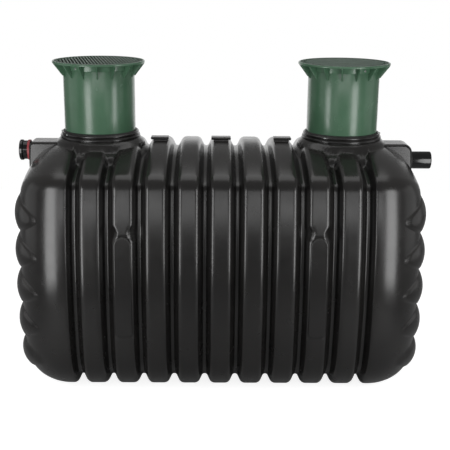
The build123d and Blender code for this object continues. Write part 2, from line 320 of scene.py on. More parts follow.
def bump(tree, shader, height, depth_mm):
    """Drives the shader's normal from a height of so many millimetres."""
    node = add(
        tree,
        "ShaderNodeBump",
        links={"Height": height},
        inputs={"Strength": 1.0, "Distance": depth_mm / 1000.0},
    )
    tree.links.new(node.outputs["Normal"], shader.inputs["Normal"])


def spread(tree, value, low, high):
    """Maps the middle of a noise, 0.3 to 0.7, where most of it lies, to low..high."""
    node = add(
        tree,
        "ShaderNodeMapRange",
        links={"Value": value},
        inputs={"From Min": 0.3, "From Max": 0.7, "To Min": low, "To Max": high},
    )
    return node.outputs["Result"]


# %% [markdown]
# ## Black moulded polyethylene
# The body is one hollow blow moulding of high-density polyethylene, black with carbon. A moulded
# skin is satin: it has soft reflections, a faint orange peel about 7 mm across, and a little dust on
# what faces up. Polyethylene's index of refraction is about 1.51.

# %% Material of the body
def moulded_hdpe():
    material, tree, shader = new_material("blow_moulded_black_hdpe")
    place = add(tree, "ShaderNodeTexCoord").outputs["Object"]
    facing = add(tree, "ShaderNodeNewGeometry").outputs["Normal"]
    up = add(tree, "ShaderNodeSeparateXYZ", links={"Vector": facing}).outputs["Z"]
    clouds = noise(tree, place, 260.0, detail=4.0)
    base = colour_ramp(tree, clouds, [(0.3, "#100f0f"), (0.7, "#171615")])
    dust_amount = add(
        tree,
        "ShaderNodeMapRange",
        links={"Value": up},
        inputs={"From Min": 0.3, "From Max": 1.0, "To Min": 0.0, "To Max": 0.35},
    ).outputs["Result"]
    dusty = add(
        tree,
        "ShaderNodeMix",
        data_type="RGBA",
        links={"Factor": dust_amount, "A": base},
        inputs={"B": linear("#3a3836")},
    )
    tree.links.new(dusty.outputs["Result"], shader.inputs["Base Color"])
    shine = spread(tree, noise(tree, place, 90.0), 0.22, 0.28)
    tree.links.new(shine, shader.inputs["Roughness"])
    shader.inputs["IOR"].default_value = 1.51
    bump(tree, shader, noise(tree, place, 7.0, detail=2.0), 0.12)
    return material


MOULDED_BODY = moulded_hdpe()
print("made", MOULDED_BODY.name)

# %% [markdown]
# ## Green polyethylene of the shafts
# The shafts are smooth tubes of green polyethylene with a clear gloss, so they show
# the lamps as upright white streaks. Faint waves along the tube keep the streaks from looking ruled.

# %% Material of the shafts and lid rings
def green_tube():
    material, tree, shader = new_material("gloss_green_polyethylene")
    place = add(tree, "ShaderNodeTexCoord").outputs["Object"]
    clouds = noise(tree, place, 180.0)
    colour = colour_ramp(tree, clouds, [(0.3, "#3f6049"), (0.7, "#4b6c55")])
    tree.links.new(colour, shader.inputs["Base Color"])
    shine = spread(tree, noise(tree, place, 60.0), 0.2, 0.28)
    tree.links.new(shine, shader.inputs["Roughness"])
    shader.inputs["IOR"].default_value = 1.51
    stretched = add(
        tree, "ShaderNodeMapping", links={"Vector": place}, inputs={"Scale": (1.0, 1.0, 0.25)}
    ).outputs["Vector"]
    bump(tree, shader, noise(tree, stretched, 70.0, detail=1.0), 0.5)
    return material


GREEN_SHAFT = green_tube()
print("made", GREEN_SHAFT.name)

# %% [markdown]
# ## Grey-green lids
# The lids are moulded in a greyer green and left matt by their grained tool, which keeps feet from
# slipping. One plastic shows three finishes: the grained rim band, the bars of the tread, painted
# paler as painted light on their tops and made smoother, and the grooves between them, painted
# near black as painted shade. Each finish is the same material with its own colours and roughness.
# The real grain is under a millimetre, too fine to show in the picture, so it is drawn 3 mm across.

# %% Material of the lids
def lid_plastic(name, low, high, smoothest, roughest):
    material, tree, shader = new_material(name)
    place = add(tree, "ShaderNodeTexCoord").outputs["Object"]
    clouds = noise(tree, place, 60.0, detail=4.0)
    colour = colour_ramp(tree, clouds, [(0.3, low), (0.7, high)])
    tree.links.new(colour, shader.inputs["Base Color"])
    shine = spread(tree, noise(tree, place, 25.0), smoothest, roughest)
    tree.links.new(shine, shader.inputs["Roughness"])
    shader.inputs["IOR"].default_value = 1.51
    bump(tree, shader, noise(tree, place, 3.0, detail=2.0), 0.15)
    return material


LID_GREEN = lid_plastic("grained_grey_green_polyethylene", "#2f4436", "#3d5244", 0.55, 0.68)
# The bars' paler colour is painted light on their tops, and the grooves' near-black colour is painted shade.
LIT_TREAD_GREEN = lid_plastic("painted_light_tread_green_polyethylene", "#51675a", "#64796a", 0.38, 0.48)
SHADED_GROOVE_GREEN = lid_plastic("painted_shade_groove_green_polyethylene", "#10150f", "#1a2019", 0.90, 1.0)
print("made", LID_GREEN.name, LIT_TREAD_GREEN.name, SHADED_GROOVE_GREEN.name)

# %% [markdown]
# ## Pipes, rubber and screws
# The pipe ends are extruded black polypropylene, which is glossier than the body. The seals are
# moulded rubber, matt with a soft bloom, black but for the red one of the inlet. The screws are
# zinc-plated steel, a dull grey. The grain of rubber and zinc is finer than a pixel of the picture,
# so it is drawn 1.5 to 3 mm across.

# %% Materials of pipes, seals and screws
def pipe_or_seal(name, low, high, rough, grain_mm, depth_mm, ior=1.49):
    material, tree, shader = new_material(name)
    place = add(tree, "ShaderNodeTexCoord").outputs["Object"]
    colour = colour_ramp(tree, noise(tree, place, 40.0), [(0.3, low), (0.7, high)])
    tree.links.new(colour, shader.inputs["Base Color"])
    shine = spread(tree, noise(tree, place, 20.0), rough * 0.85, rough * 1.15)
    tree.links.new(shine, shader.inputs["Roughness"])
    shader.inputs["IOR"].default_value = ior
    bump(tree, shader, noise(tree, place, grain_mm, detail=2.0), depth_mm)
    return material


PIPE_BLACK = pipe_or_seal("extruded_black_polypropylene", "#0b0b0c", "#121213", 0.11, 30.0, 0.15)
SEAL_BLACK = pipe_or_seal("moulded_black_epdm_rubber", "#141312", "#1c1b1a", 0.55, 2.5, 0.1, 1.52)
SEAL_RED = pipe_or_seal("moulded_red_epdm_rubber", "#8c2f33", "#a8434a", 0.5, 2.5, 0.1, 1.52)


def zinc_steel():
    material, tree, shader = new_material("zinc_plated_steel")
    place = add(tree, "ShaderNodeTexCoord").outputs["Object"]
    colour = colour_ramp(tree, noise(tree, place, 3.0), [(0.3, "#8f9494"), (0.7, "#b3b6b2")])
    tree.links.new(colour, shader.inputs["Base Color"])
    shader.inputs["Metallic"].default_value = 1.0
    tree.links.new(spread(tree, noise(tree, place, 2.0), 0.3, 0.45), shader.inputs["Roughness"])
    bump(tree, shader, noise(tree, place, 1.5), 0.05)
    return material


SCREW_ZINC = zinc_steel()
print("made", PIPE_BLACK.name, SEAL_BLACK.name, SEAL_RED.name, SCREW_ZINC.name)

# %% [markdown]
# ## The section of the tank
# Seen from the end, the tank is a rounded box: a flat crown, round shoulders, gently bulged sides,
# rounder haunches and a flat bottom. Every arc runs into the next without a corner, so one list of
# arcs gives the outline at any depth below the rib crests.

# %% Section arcs
def polar(centre, radius, angle):
    return centre[0] + radius * cos(angle), centre[1] + radius * sin(angle)


def heading(start, end):
    return atan2(end[1] - start[1], end[0] - start[0])


def section_arcs(half_width, bottom, top, upper_round, lower_round):
    """Rear half of the section as (centre, radius, end angle), crown first."""
    crown = (0.0, top - CROWN_RADIUS)
    side = (half_width - SIDE_RADIUS, WIDEST_Z)
    first, second = CROWN_RADIUS - upper_round, SIDE_RADIUS - upper_round
    gap = hypot(side[0] - crown[0], side[1] - crown[1])
    along = (gap**2 + first**2 - second**2) / (2 * gap)
    upper = polar(crown, first, heading(crown, side) - acos(along / first))
    lower_z = bottom + lower_round
    lower = (side[0] + sqrt((SIDE_RADIUS - lower_round) ** 2 - (lower_z - side[1]) ** 2), lower_z)
    shoulder, waist, haunch = heading(crown, upper), heading(side, upper), heading(side, lower)
    return [
        (crown, CROWN_RADIUS, shoulder),
        (upper, upper_round, waist),
        (side, SIDE_RADIUS, haunch),
        (lower, lower_round, -pi / 2),
    ]


def half_section(arcs, depth, counts):
    """Points (y, z) down the rear side, from the crown's edge to the bottom's edge."""
    points = []
    start = arcs[0][2]
    for (centre, radius, end), count in zip(arcs[1:], counts):
        for k in range(count):
            points.append(polar(centre, radius - depth, start + (end - start) * k / count))
        start = end
    points.append(polar(arcs[3][0], arcs[3][1] - depth, -pi / 2))
    return points


def section_loop(arcs, depth, counts, bottom_count, top_count):
    """Closed loop of (y, z): rear side down, bottom, front side up, crown back over."""
    rear = half_section(arcs, depth, counts)
    crown, radius, shoulder = arcs[0]
    foot_y, foot_z = rear[-1]
    loop = list(rear)
    loop += [(foot_y * (1 - 2 * k / bottom_count), foot_z) for k in range(1, bottom_count)]
    loop += [(-y, z) for y, z in reversed(rear)]
    for k in range(1, top_count):
        angle = pi - shoulder - (pi - 2 * shoulder) * k / top_count
        loop.append(polar(crown, radius - depth, angle))
    return loop


BODY_ARCS = section_arcs(HALF_WIDTH, 0.0, BODY_TOP, UPPER_ROUND, LOWER_ROUND)
print("crown edge at", [round(v, 3) for v in polar(*BODY_ARCS[0])])

# %% [markdown]
# ## The line of the ribs
# Along the tank the wall runs over nine hollow ribs. Each has a flat crest, a wide rounded edge
# that carries the bright line in the picture, a steep flank and a narrow valley. The line is drawn
# once with round corners and swept round the section, so every rib is the same on all sides.

# %% Rib line
PAD_X = 3 * RIB_PITCH
CREST_HALF = 0.0495
FLANK_ANGLE = 64.0
CREST_ROUND = 0.033
VALLEY_ROUND = 0.015
POINT_SPACING = 0.014
FLANK_RUN = RIB_DEPTH / tan(radians(FLANK_ANGLE))
VALLEY_HALF = RIB_PITCH / 2 - CREST_HALF - FLANK_RUN


def rib_line():
    """(x, depth) along the barrel, with rounded rib edges and valleys."""
    corners, rounds = [(-BARREL_HALF, 0.0)], [0.0]
    for gap in range(RIB_COUNT + 1):
        valley = RIB_PITCH * (gap - RIB_COUNT / 2)
        for x, depth, size in (
            (-VALLEY_HALF - FLANK_RUN, 0.0, CREST_ROUND),
            (-VALLEY_HALF, RIB_DEPTH, VALLEY_ROUND),
            (VALLEY_HALF, RIB_DEPTH, VALLEY_ROUND),
            (VALLEY_HALF + FLANK_RUN, 0.0, CREST_ROUND),
        ):
            corners.append((valley + x, depth))
            rounds.append(size)
    corners.append((BARREL_HALF, 0.0))
    rounds.append(0.0)
    line = rounded_line(corners, rounds, steps=5)
    dense = [line[0]]
    for point in line[1:]:
        start = dense[-1]
        pieces = max(1, int(np.ceil((point[0] - start[0]) / POINT_SPACING)))
        for k in range(1, pieces + 1):
            share = k / pieces
            dense.append(tuple(a + (b - a) * share for a, b in zip(start, point)))
    return dense


RIB_LINE = rib_line()
print("points along the barrel:", len(RIB_LINE))

# %% [markdown]
# ## The bosses under the necks
# Where a neck stands on the ribs, the moulding fills the valleys round it with a low cone that
# starts as a short flare under the collar and drops steeply at its foot. Near the crown the surface
# is a height over (x, y), so the cone is blended in by a smooth maximum of two heights: it rounds
# the join as a mould does, which a boolean union would leave sharp.

# %% Smooth blend of the bosses
BOSS_RADII = (0.0, 0.226, 0.236, 0.248, 0.257, 0.300, 0.325, 0.345, 0.400, 3.0)
BOSS_DROPS = (0.003, 0.004, 0.014, 0.024, 0.053, 0.076, 0.135, 0.300, 1.500, 1.500)
BLEND = 0.008
BOSS_ZONE = 0.3


def smooth_max(a, b, width):
    """Larger of two heights, with the corner between them rounded off."""
    share = np.clip(0.5 + 0.5 * (a - b) / width, 0.0, 1.0)
    return b + (a - b) * share + width * share * (1 - share) * 0.5


def boss_height(x, y):
    """Height of the two bosses over a point, far below the tank away from them."""
    height = np.full(np.shape(x), -1.0)
    for centre in SHAFTS.values():
        drop = np.interp(np.hypot(x - centre, y), BOSS_RADII, BOSS_DROPS)
        height = np.maximum(height, NECK_LEVEL - drop)
    return height


def with_bosses(points):
    """Raises the top of the body to the bosses."""
    top = points[..., 2] > BODY_TOP - BOSS_ZONE
    raised = smooth_max(points[..., 2], boss_height(points[..., 0], points[..., 1]), BLEND)
    points[..., 2] = np.where(top, np.maximum(raised, points[..., 2]), points[..., 2])
    return points


# %% [markdown]
# ## The waists above the pads
# The second and the eighth rib end in a round above their pads, and a narrow waist joins them to
# the pad below. On the moulding that is a notch from each side. Here the rib's own points slide
# towards its middle line, so the flanks stay as steep and as smooth as elsewhere. The crest also
# sinks by 5 mm where a pad lies, with a soft edge, so that the pad's rim stands clear of it.

# %% Waists of two ribs
SIDE_MARGIN = 0.05
BED_BELOW = 0.012
BED_ABOVE = 0.006
BED_FADE = 0.008
PAD_LOW, PAD_HIGH = 0.399, 0.957
WAIST_Z = PAD_HIGH + 0.016
WAIST_SHARE = 0.62
WAIST_REACH = 0.045
PAD_BED = 0.005


def with_waists(points):
    """Narrows the pad ribs over a short height, and sinks a bed for each pad."""
    for centre in (-PAD_X, PAD_X):
        across = points[..., 0] - centre
        away = np.clip(np.abs(points[..., 2] - WAIST_Z) / WAIST_REACH, 0.0, 1.0)
        pinch = (1.0 - away**2) ** 1.5
        inside = np.clip((CREST_HALF + FLANK_RUN - np.abs(across)) / FLANK_RUN, 0.0, 1.0)
        share = 1.0 - (1.0 - WAIST_SHARE) * pinch * inside
        on_side = np.abs(points[..., 1]) > HALF_WIDTH - RIB_DEPTH - SIDE_MARGIN
        points[..., 0] = np.where(on_side, centre + across * share, points[..., 0])
        above_foot = np.clip((points[..., 2] - PAD_LOW + BED_BELOW) / BED_FADE, 0.0, 1.0)
        below_top = np.clip((PAD_HIGH + BED_ABOVE - points[..., 2]) / BED_FADE, 0.0, 1.0)
        bed = PAD_BED * above_foot * below_top * inside
        points[..., 1] -= np.where(on_side, np.sign(points[..., 1]) * bed, 0.0)
    return points


print("waists at", round(WAIST_Z, 3), "beds from", PAD_LOW, "to", PAD_HIGH)

# %% [markdown]
# ## The barrel
# The ribbed middle of the tank is one skin. Each point of the rib line gets a section as deep as the
# line is there, and the rows of points are joined to quads. Bosses and waists then move some of the
# points. The counts say how many points each arc of the section gets: most go to the long side.

# %% Barrel
SIDE_COUNTS = (10, 110, 14)
ACROSS_TOP, ACROSS_BOTTOM = 76, 10


def make_barrel():
    loops = []
    for x, depth in RIB_LINE:
        loop = section_loop(BODY_ARCS, depth, SIDE_COUNTS, ACROSS_BOTTOM, ACROSS_TOP)
        loops.append([(x, y, z) for y, z in loop])
    points = with_waists(with_bosses(np.array(loops)))
    rows, columns, _ = points.shape
    faces = grid_faces(rows, columns, close_columns=True)
    piece = new_piece("ribbed_barrel", points.reshape(-1, 3), faces, MOULDED_BODY)
    face_outwards(piece)
    return finish_piece(piece, "moulded_body", "roof", "front_wall", "rear_wall", "floor")


barrel = make_barrel()
print("barrel vertices:", len(barrel.data.vertices))

# %% [markdown]
# ## Pads
# A pad is a plate 4 mm proud of the crest, with a full round at its top and small rounds at its
# foot. Its face follows the wall's own curve. The outline is a ring of points, so the face is one
# curved strip of rows, and a narrow slanted rim gives the thin bright line round it.

# %% Pads
PAD_HALF = 0.0460
PAD_FOOT_ROUND = 0.026
PAD_PROUD = 0.0038
PAD_RIM = 0.0045
PAD_SUPPORT = PAD_RIM + 0.003
PAD_SKIRT = 0.016
PAD_RIM_DROP = 0.0035
PAD_ROWS = 60


def pad_half_width(z, inset):
    """Half width of the pad's outline at a level, drawn in by an inset."""
    half = PAD_HALF - inset
    top_centre, foot_centre = PAD_HIGH - PAD_HALF, PAD_LOW + PAD_FOOT_ROUND
    if z > top_centre:
        return sqrt(max(half**2 - (z - top_centre) ** 2, 0.0))
    if z < foot_centre:
        corner = PAD_FOOT_ROUND - inset
        return half - corner + sqrt(max(corner**2 - (foot_centre - z) ** 2, 0.0))
    return half


def wall_y(z, proud):
    """Depth of the wall's outer line at a level, some way proud of it."""
    angle = asin((z - WIDEST_Z) / (SIDE_RADIUS + proud))
    return HALF_WIDTH - SIDE_RADIUS + (SIDE_RADIUS + proud) * cos(angle)


def make_pad(face, side, x):
    towards = -1 if face == "front" else 1
    steps = (
        (0.0, -PAD_SKIRT),
        (0.0, PAD_PROUD - PAD_RIM_DROP),
        (PAD_RIM, PAD_PROUD),
        (PAD_SUPPORT, PAD_PROUD),
        (PAD_HALF, PAD_PROUD),
    )
    columns = []
    for inset, proud in steps:
        drawn_in = min(inset, PAD_SUPPORT)
        middle, half_height = (PAD_LOW + PAD_HIGH) / 2, (PAD_HIGH - PAD_LOW) / 2 - drawn_in
        column = []
        for k in range(PAD_ROWS + 1):
            z = middle - half_height * cos(pi * k / PAD_ROWS)
            half = pad_half_width(z, drawn_in) if inset < PAD_HALF else 0.0
            column.append((half, towards * wall_y(z, proud), z))
        columns.append(column)
    loops = [[(x - h, y, z) for h, y, z in c] for c in columns]
    loops += [[(x + h, y, z) for h, y, z in c] for c in reversed(columns[:-1])]
    points = np.array(loops)
    faces = grid_faces(points.shape[0], points.shape[1])
    piece = new_piece(f"{face}_{side}_rib_pad", points.reshape(-1, 3), faces, MOULDED_BODY)
    face_outwards(piece, merge=1e-5)
    return finish_piece(piece, "moulded_body", f"{face}_{side}_pad")


for face in ("front", "rear"):
    for side, x in (("left", -PAD_X), ("right", PAD_X)):
        make_pad(face, side, x)

# %% [markdown]
# ## The domed ends
# Each end closes the barrel with a quarter-round corner and a nearly flat face. Five level lobes
# stiffen it. They stand 31 mm proud of the face, and because their corners turn about a centre
# that lies 36 mm further in, they sink into the skin and end in leaf-shaped tips. A step of up to
# 7 mm keeps the edge of each tip crisp, as on the moulding. First come the shrinking sections of
# the corner and the height of the lobes at a level.

# %% Sections and lobes of an end
END_CORNER = 0.256
TOP_ROUND = 0.205
BOTTOM_ROUND = 0.169
LOBE_LEVELS = [1.027 - 0.2026 * k for k in range(5)]
LOBE_PROUD = 0.031
LOBE_ROUND = 0.184
LOBE_SINK = 0.036
LOBE_REACH = 0.115
TIP_STEP = 0.007
TIP_EDGE = 0.003
TIP_FADE = 0.016
DOME_RINGS = 72
DOME_COUNTS = (12, 150, 20)
ACROSS = 76


def dome_section(angle):
    shrink = 1 - cos(angle)
    arcs = section_arcs(
        HALF_WIDTH - END_CORNER * shrink,
        BOTTOM_ROUND * shrink,
        BODY_TOP - TOP_ROUND * shrink,
        UPPER_ROUND,
        LOWER_ROUND - (LOWER_ROUND - BOTTOM_ROUND) * shrink,
    )
    x = BARREL_HALF + END_CORNER * sin(angle)
    return x, arcs


def lobe_height(z, sink):
    """Height of the lobes at a level, less how far they have sunk there."""
    height = np.zeros(np.shape(z))
    for level in LOBE_LEVELS:
        away = np.abs(z - level)
        bulge = np.sqrt(np.maximum(LOBE_ROUND**2 - away**2, 0.0)) - (LOBE_ROUND - LOBE_PROUD)
        height = np.maximum(height, np.where(away < LOBE_REACH, bulge, 0.0))
    left = height - sink
    step = TIP_STEP * np.clip(left / TIP_EDGE, 0.0, 1.0) * np.clip(sink / TIP_FADE, 0.0, 1.0)
    return np.maximum(left, 0.0) + step


print("lobes at", [round(level, 3) for level in LOBE_LEVELS])

# %% [markdown]
# ## One skin for an end
# The end is a set of rings from the shrinking sections, plus a face of rows that closes the last
# ring from rear to front. The rings are pushed out along their normals by the lobes' height, and
# the face spans between their moved points, so lobes, tips and valleys are one skin.

# %% Domed ends
def grid_normals(points):
    """Unit normals of a grid of points by central differences."""
    along = np.gradient(points, axis=0)
    around = np.gradient(points, axis=1)
    normal = np.cross(along, around)
    return normal / np.maximum(np.linalg.norm(normal, axis=2, keepdims=True), 1e-12)


def make_end(name, side, *replaced):
    rings = []
    for k in range(DOME_RINGS + 1):
        x, arcs = dome_section(pi / 2 * k / DOME_RINGS)
        rings.append([(x, y, z) for y, z in section_loop(arcs, 0.0, DOME_COUNTS, ACROSS, ACROSS)])
    rings = np.array(rings)
    around = rings.shape[1]
    wrapped = np.concatenate([rings[:, -1:], rings, rings[:, :1]], axis=1)
    normals = grid_normals(wrapped)[:, 1:-1]
    normals *= np.sign(normals[..., 0].sum())
    sink = LOBE_SINK * np.abs(normals[..., 1]) / np.hypot(normals[..., 0], normals[..., 1])
    push = lobe_height(rings[..., 2], sink)
    rings = rings + normals * push[..., None]
    side_count = sum(DOME_COUNTS) + 1
    last = rings[-1]
    rear = last[:side_count]
    front = last[side_count + ACROSS - 1 : 2 * side_count + ACROSS - 1][::-1]
    face = []
    for start, end in zip(rear[1:-1], front[1:-1]):
        face.append([start + (end - start) * (k / ACROSS) for k in range(1, ACROSS)])
    face = np.array(face)
    vertices = list(rings.reshape(-1, 3)) + list(face.reshape(-1, 3))
    faces = grid_faces(DOME_RINGS + 1, around, close_columns=True)
    ring_start = DOME_RINGS * around
    face_start = rings.shape[0] * around

    def index(row, k):
        """Vertex of the end face at a row down the side and a step across from rear to front."""
        if k == 0:
            return ring_start + row
        if k == ACROSS:
            return ring_start + side_count + ACROSS - 1 + (side_count - 1 - row)
        if row == side_count - 1:
            return ring_start + side_count - 1 + k
        if row == 0:
            return ring_start + (around - k)
        return face_start + (row - 1) * (ACROSS - 1) + (k - 1)

    for row in range(side_count - 1):
        for k in range(ACROSS):
            quad = ((row, k), (row, k + 1), (row + 1, k + 1), (row + 1, k))
            faces.append(tuple(index(*corner) for corner in quad))
    points = with_bosses(np.array(vertices))
    points[:, 0] *= side
    piece = new_piece(name, points, faces, MOULDED_BODY)
    face_outwards(piece)
    return finish_piece(piece, "moulded_body", *replaced)


make_end("left_domed_end", -1, "left_end")
make_end("right_domed_end", 1, "right_end")

# %% [markdown]
# ## Necks and their seals
# A collar with two rolled beads stands on each boss and holds the shaft, with a rubber lip seal in
# the gap. The lower bead is the wider one, and a dark line runs between the two. Both collar and
# seal are round, so each is a profile turned about the shaft's axis.

# %% Collars and lip seals
SHAFT_RADIUS = 0.2000
SHAFT_BORE = 0.1930
COLLAR_BORE = 0.2045
COLLAR_FOOT = -0.040
COLLAR_PROFILE = [
    (COLLAR_BORE, 0.031), (0.2150, 0.031), (0.2195, 0.026), (0.2195, 0.020), (0.2150, 0.0155),
    (0.2150, 0.0145), (0.2245, 0.011), (0.2260, 0.006), (0.2260, 0.001), (0.2235, -0.0035),
    (0.2235, -0.006), (0.2290, -0.009), (0.2290, COLLAR_FOOT), (COLLAR_BORE, COLLAR_FOOT),
]
SEAL_PROFILE = [
    (SHAFT_RADIUS, 0.024), (0.2080, 0.024), (0.2085, 0.033), (0.2050, 0.0365), (0.2020, 0.038),
    (SHAFT_RADIUS, 0.037),
]

for side, x in SHAFTS.items():
    profile = rounded_line(COLLAR_PROFILE, 0.003, steps=3, closed=True)
    collar = turned_piece(f"{side}_neck_collar", profile, (x, 0, NECK_LEVEL), MOULDED_BODY)
    finish_piece(collar, "moulded_body", f"{side}_neck")
    profile = rounded_line(SEAL_PROFILE, 0.0015, steps=2, closed=True)
    seal = turned_piece(f"{side}_lip_seal", profile, (x, 0, NECK_LEVEL), SEAL_BLACK)
    finish_piece(seal, "black_rubber", f"{side}_neck_seal")

# %% [markdown]
# ## Shafts
# The shafts are plain tubes. They are turned with 160 sides so that their upright highlights
# stay straight.

# %% Shafts
SHAFT_TOP = 0.412
SHAFT_FOOT = -0.030
SHAFT_SIDES = 160
SHAFT_PROFILE = [
    (SHAFT_BORE, SHAFT_FOOT), (SHAFT_RADIUS, SHAFT_FOOT), (SHAFT_RADIUS, SHAFT_TOP), (SHAFT_BORE, SHAFT_TOP),
]

for side, x in SHAFTS.items():
    profile = rounded_line(SHAFT_PROFILE, 0.001, steps=2, closed=True)
    place = (x, 0, NECK_LEVEL)
    tube = turned_piece(f"{side}_shaft_tube", profile, place, GREEN_SHAFT, segments=SHAFT_SIDES)
    finish_piece(tube, "shaft_plastic", f"{side}_shaft")

# %% [markdown]
# ## Lid rings
# Each lid sits in a ring that slips over the shaft. Below its rolled rim hang sixteen thin gussets,
# and between them a short skirt takes six screws. The rim and skirt are turned, the gussets are
# small plates set round the axis, and a bevel softens their edges.

# %% Lid rings with gussets
LID_TOP = 0.426
LID_FACE = LID_TOP - 0.0002
LID_UNDERSIDE = LID_TOP - 0.009
RING_RADIUS = 0.2585
RIM_INSIDE = 0.2475
RIM_FOOT = LID_TOP - 0.014
SKIRT_FOOT = RIM_FOOT - 0.031
SKIRT_BORE = 0.2010
GUSSET_COUNT = 16
GUSSET_THICKNESS = 0.006
GUSSET_FOOT = LID_TOP - 0.086
GUSSET_ROOT = 0.1985
GUSSET_TIP = 0.2560
GUSSET_TURN = {"left": 4.6, "right": 12.3}
RING_PROFILE = [
    (RIM_INSIDE, LID_FACE), (RING_RADIUS, LID_FACE), (RING_RADIUS, RIM_FOOT), (0.2095, RIM_FOOT),
    (0.2085, SKIRT_FOOT), (SKIRT_BORE, SKIRT_FOOT), (SKIRT_BORE, RIM_FOOT), (SHAFT_BORE, RIM_FOOT),
    (SHAFT_BORE, LID_UNDERSIDE), (RIM_INSIDE, LID_UNDERSIDE),
]
RING_ROUNDS = [0.001, 0.006, 0.004, 0.004, 0.002, 0.001, 0.001, 0.001, 0.001, 0.001]


def make_gussets(side, x):
    outline = [
        (GUSSET_ROOT, RIM_FOOT + 0.002), (GUSSET_TIP, RIM_FOOT + 0.002), (GUSSET_TIP, RIM_FOOT - 0.004),
        (0.2040, GUSSET_FOOT), (GUSSET_ROOT, GUSSET_FOOT),
    ]
    mesh = bmesh.new()
    for k in range(GUSSET_COUNT):
        turn = radians(GUSSET_TURN[side] + 360 / GUSSET_COUNT * k - 90)
        c, s = cos(turn), sin(turn)
        faces = []
        for w in (-GUSSET_THICKNESS / 2, GUSSET_THICKNESS / 2):
            faces.append([(r * c - w * s, r * s + w * c, h) for r, h in outline])
        add_prism(mesh, *faces)
    bmesh.ops.recalc_face_normals(mesh, faces=mesh.faces)
    place = Matrix.Translation((x, 0, NECK_LEVEL))
    piece = piece_from_bmesh(f"{side}_gussets", mesh, GREEN_SHAFT, place, soften=(0.0012, 2))
    return finish_piece(piece, "shaft_plastic")


for side, x in SHAFTS.items():
    profile = rounded_line(RING_PROFILE, RING_ROUNDS, steps=4, closed=True)
    place = (x, 0, NECK_LEVEL)
    ring = turned_piece(f"{side}_lid_ring_rim", profile, place, GREEN_SHAFT, segments=SHAFT_SIDES)
    finish_piece(ring, "shaft_plastic", f"{side}_lid_ring")
    make_gussets(side, x)

# %% [markdown]
# ## Screws
# Six screws hold each lid ring to its shaft, and two hold each collar. A small flat head with a
# slanted edge and a sunk drive hole is enough to read as a screw from any side.

# %% Screws
SCREW_HEAD = [
    (0.0, 0.0015), (0.0022, 0.0015), (0.0022, 0.0028), (0.0052, 0.0026), (0.0060, 0.0010),
    (0.0060, -0.004), (0.0, -0.004),
]
RING_SCREW_COUNT = 6
RING_SCREW_RADIUS = 0.2085
RING_SCREW_LEVEL = LID_TOP - 0.031
RING_SCREW_TURN = {"left": 0.0, "right": -4.7}
COLLAR_SCREW_RADIUS = 0.2195
COLLAR_SCREW_LEVEL = 0.0235
COLLAR_SCREW_TURNS = {"left": (-51.0, -90.0), "right": (-32.0, 88.0)}


def add_screw(name, side, radius, height, turn):
    """Turns a screw head about its own axis and sets it facing out of a tube."""
    head = turned_piece(name, SCREW_HEAD, (0, 0, 0), SCREW_ZINC, segments=20, closed=False)
    outwards = Matrix.Rotation(radians(90), 4, "Y")
    lift = Matrix.Translation((radius, 0, height))
    around = Matrix.Rotation(radians(turn - 90), 4, "Z")
    head.data.transform(Matrix.Translation((SHAFTS[side], 0, NECK_LEVEL)) @ around @ lift @ outwards)
    return finish_piece(head, "shaft_plastic")


for side in SHAFTS:
    for k in range(RING_SCREW_COUNT):
        turn = RING_SCREW_TURN[side] + 360 / RING_SCREW_COUNT * (k + 0.5)
        add_screw(f"{side}_ring_screw_{k + 1}", side, RING_SCREW_RADIUS, RING_SCREW_LEVEL, turn)
    for k, turn in enumerate(COLLAR_SCREW_TURNS[side]):
        add_screw(f"{side}_collar_screw_{k + 1}", side, COLLAR_SCREW_RADIUS, COLLAR_SCREW_LEVEL, turn)

# %% [markdown]
# ## Lids with a raised tread
# A lid is a disc with parallel bars that stop short of a smooth band at its rim. Here the band and
# the sunk bed are turned, and each bar is a low strip with a flat top, cut to the chord that it
# covers. As three pieces they can wear three finishes: grained band, bars painted paler as painted
# light, and grooves painted near black as painted shade.

# %% Lids
LID_RADIUS = 0.246
TREAD_RADIUS = 0.222
TREAD_BED = LID_TOP - 0.0070
TREAD_PITCH = 0.0175
TREAD_WIDTH = 0.0085
TREAD_SLANT = 0.0012
TREAD_END_GAP = 0.003
SHORTEST_HALF_BAR = 0.02
TREAD_TURN = 12.5


def make_lid(side, x):
    place = (x, 0, NECK_LEVEL)
    rim = [
        (TREAD_RADIUS, LID_UNDERSIDE), (LID_RADIUS, LID_UNDERSIDE), (LID_RADIUS, LID_TOP - 0.001),
        (0.236, LID_FACE), (TREAD_RADIUS + 0.006, LID_FACE), (TREAD_RADIUS + 0.003, TREAD_BED),
        (TREAD_RADIUS, TREAD_BED),
    ]
    rounds = [0, 0.001, 0.002, 0.001, 0.001, 0.001, 0]
    profile = rounded_line(rim, rounds, steps=2, closed=True)
    band = turned_piece(f"{side}_lid_rim_band", profile, place, LID_GREEN)
    finish_piece(band, "lid_plastic", f"{side}_lid")
    edge = TREAD_RADIUS + 0.0002
    bed = [(0.0, LID_UNDERSIDE), (edge, LID_UNDERSIDE), (edge, TREAD_BED), (0.0, TREAD_BED)]
    # The sunk bed wears the near-black groove colour, which is painted shade between the bars.
    disc = turned_piece(f"{side}_lid_tread_bed", bed, place, SHADED_GROOVE_GREEN, closed=False)
    return finish_piece(disc, "lid_plastic")


